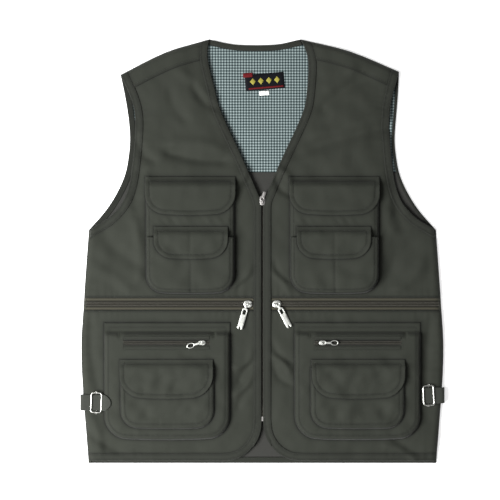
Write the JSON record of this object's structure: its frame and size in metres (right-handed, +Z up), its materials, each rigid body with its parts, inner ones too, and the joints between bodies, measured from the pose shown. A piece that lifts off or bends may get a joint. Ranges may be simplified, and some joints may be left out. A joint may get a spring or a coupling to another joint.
{
  "type": "fishing vest",
  "caption": "Sleeveless zip-front fishing vest with mesh lining, flapped chest and hip pockets, waist zips and side straps, laid flat on its back.",
  "frame": {"origin": "on the surface the vest lies on, under the middle of its overall box", "axes": "+X to the wearer's left, +Y towards the neck, +Z up out of the front"},
  "size_m": [0.5838, 0.68, 0.0321],
  "materials": {
    "shell_cloth": "fine twill, matt",
    "band_cloth": "fine twill bands, matt, topstitched",
    "check_lining": "woven check",
    "mesh_lining": "open knitted mesh",
    "zip_tape": "woven tape with moulded coil",
    "webbing": "self-cloth strap, matt",
    "woven_label": "woven satin",
    "white_tag": "printed satin ribbon",
    "zip_metal": "satin nickel",
    "buckle_metal": "polished nickel"
  },
  "bodies": {
    "vest": {"back_panel": "shell_cloth", "back_yoke_lining": "check_lining", "back_mesh_lining": "mesh_lining", "back_hem": "band_cloth", "back_neck_band": "band_cloth", "neck_label": "woven_label", "size_tag": "white_tag", "front_zip_left_half": "zip_tape", "front_zip_right_half": "zip_tape", "front_zip_box": "zip_metal", "left_front_upper": "shell_cloth", "left_front_lower": "shell_cloth", "left_shoulder_yoke": "shell_cloth", "left_side_seam": "shell_cloth", "left_armhole_facing": "band_cloth", "left_front_band": "band_cloth", "left_waist_zip_upper": "zip_tape", "left_waist_zip_lower": "zip_tape", "left_chest_pocket": "shell_cloth", "left_chest_small_pocket": "shell_cloth", "left_lower_pocket": "shell_cloth", "left_lower_small_pocket": "shell_cloth", "left_pocket_zip_upper": "zip_tape", "left_pocket_zip_lower": "zip_tape", "left_buckle": "buckle_metal", "left_anchor_tab": "webbing", "right_front_upper": "shell_cloth", "right_front_lower": "shell_cloth", "right_shoulder_yoke": "shell_cloth", "right_side_seam": "shell_cloth", "right_armhole_facing": "band_cloth", "right_front_band": "band_cloth", "right_waist_zip_upper": "zip_tape", "right_waist_zip_lower": "zip_tape", "right_chest_pocket": "shell_cloth", "right_chest_small_pocket": "shell_cloth", "right_lower_pocket": "shell_cloth", "right_lower_small_pocket": "shell_cloth", "right_pocket_zip_upper": "zip_tape", "right_pocket_zip_lower": "zip_tape", "right_buckle": "buckle_metal", "right_anchor_tab": "webbing"},
    "front_zip_slider": {"front_zip_slider": "zip_metal"},
    "front_zip_pull": {"front_zip_pull": "zip_metal"},
    "left_waist_zip_slider": {"left_waist_zip_slider": "zip_metal"},
    "left_waist_zip_pull": {"left_waist_zip_pull": "zip_metal"},
    "left_pocket_zip_slider": {"left_pocket_zip_slider": "zip_metal"},
    "left_pocket_zip_pull": {"left_pocket_zip_pull": "zip_metal"},
    "left_chest_flap": {"left_chest_flap": "shell_cloth"},
    "left_chest_small_flap": {"left_chest_small_flap": "shell_cloth"},
    "left_lower_flap": {"left_lower_flap": "shell_cloth"},
    "left_side_strap": {"left_side_strap": "webbing"},
    "right_waist_zip_slider": {"right_waist_zip_slider": "zip_metal"},
    "right_waist_zip_pull": {"right_waist_zip_pull": "zip_metal"},
    "right_pocket_zip_slider": {"right_pocket_zip_slider": "zip_metal"},
    "right_pocket_zip_pull": {"right_pocket_zip_pull": "zip_metal"},
    "right_chest_flap": {"right_chest_flap": "shell_cloth"},
    "right_chest_small_flap": {"right_chest_small_flap": "shell_cloth"},
    "right_lower_flap": {"right_lower_flap": "shell_cloth"},
    "right_side_strap": {"right_side_strap": "webbing"}
  },
  "joints": [
    {"name": "front_zip_slide", "type": "slide", "parent": "vest", "child": "front_zip_slider", "axis": [0, -1, 0], "range_m": [0, 0.335]},
    {"name": "front_pull_swing", "type": "hinge", "parent": "front_zip_slider", "child": "front_zip_pull", "pos_m": [0, 0.083, 0.0147], "axis": [0, 0, 1], "range_deg": [-50, 50]},
    {"name": "left_waist_zip_slide", "type": "slide", "parent": "vest", "child": "left_waist_zip_slider", "axis": [1, 0, 0], "range_m": [0, 0.25]},
    {"name": "left_waist_pull_swing", "type": "hinge", "parent": "left_waist_zip_slider", "child": "left_waist_zip_pull", "pos_m": [0.0249, -0.0845, 0.0143], "axis": [0, 0, 1], "range_deg": [-27, 50]},
    {"name": "left_pocket_zip_slide", "type": "slide", "parent": "vest", "child": "left_pocket_zip_slider", "axis": [1, 0, 0], "range_m": [0, 0.118]},
    {"name": "left_pocket_pull_swing", "type": "hinge", "parent": "left_pocket_zip_slider", "child": "left_pocket_zip_pull", "pos_m": [0.098, -0.146, 0.0259], "axis": [0, 0, 1], "range_deg": [-60, 60]},
    {"name": "left_chest_flap_lift", "type": "hinge", "parent": "vest", "child": "left_chest_flap", "pos_m": [0.1152, 0.1131, 0.02295], "axis": [-1, 0, 0], "range_deg": [0, 170]},
    {"name": "left_chest_small_flap_lift", "type": "hinge", "parent": "vest", "child": "left_chest_small_flap", "pos_m": [0.114, 0.0332, 0.02975], "axis": [-1, 0, 0], "range_deg": [0, 170]},
    {"name": "left_lower_flap_lift", "type": "hinge", "parent": "vest", "child": "left_lower_flap", "pos_m": [0.15295, -0.1788, 0.03225], "axis": [-1, 0, 0], "range_deg": [0, 170]},
    {"name": "left_strap_slide", "type": "slide", "parent": "vest", "child": "left_side_strap", "axis": [1, 0, 0], "range_m": [0, 0.008]},
    {"name": "right_waist_zip_slide", "type": "slide", "parent": "vest", "child": "right_waist_zip_slider", "axis": [-1, 0, 0], "range_m": [0, 0.25]},
    {"name": "right_waist_pull_swing", "type": "hinge", "parent": "right_waist_zip_slider", "child": "right_waist_zip_pull", "pos_m": [-0.0249, -0.0845, 0.0143], "axis": [0, 0, 1], "range_deg": [-60, 16]},
    {"name": "right_pocket_zip_slide", "type": "slide", "parent": "vest", "child": "right_pocket_zip_slider", "axis": [-1, 0, 0], "range_m": [0, 0.118]},
    {"name": "right_pocket_pull_swing", "type": "hinge", "parent": "right_pocket_zip_slider", "child": "right_pocket_zip_pull", "pos_m": [-0.098, -0.146, 0.0259], "axis": [0, 0, 1], "range_deg": [-75, 45]},
    {"name": "right_chest_flap_lift", "type": "hinge", "parent": "vest", "child": "right_chest_flap", "pos_m": [-0.1152, 0.1131, 0.02295], "axis": [-1, 0, 0], "range_deg": [0, 170]},
    {"name": "right_chest_small_flap_lift", "type": "hinge", "parent": "vest", "child": "right_chest_small_flap", "pos_m": [-0.114, 0.0332, 0.02975], "axis": [-1, 0, 0], "range_deg": [0, 170]},
    {"name": "right_lower_flap_lift", "type": "hinge", "parent": "vest", "child": "right_lower_flap", "pos_m": [-0.15295, -0.1788, 0.03225], "axis": [-1, 0, 0], "range_deg": [0, 170]},
    {"name": "right_strap_slide", "type": "slide", "parent": "vest", "child": "right_side_strap", "axis": [-1, 0, 0], "range_m": [0, 0.008]}
  ]
}
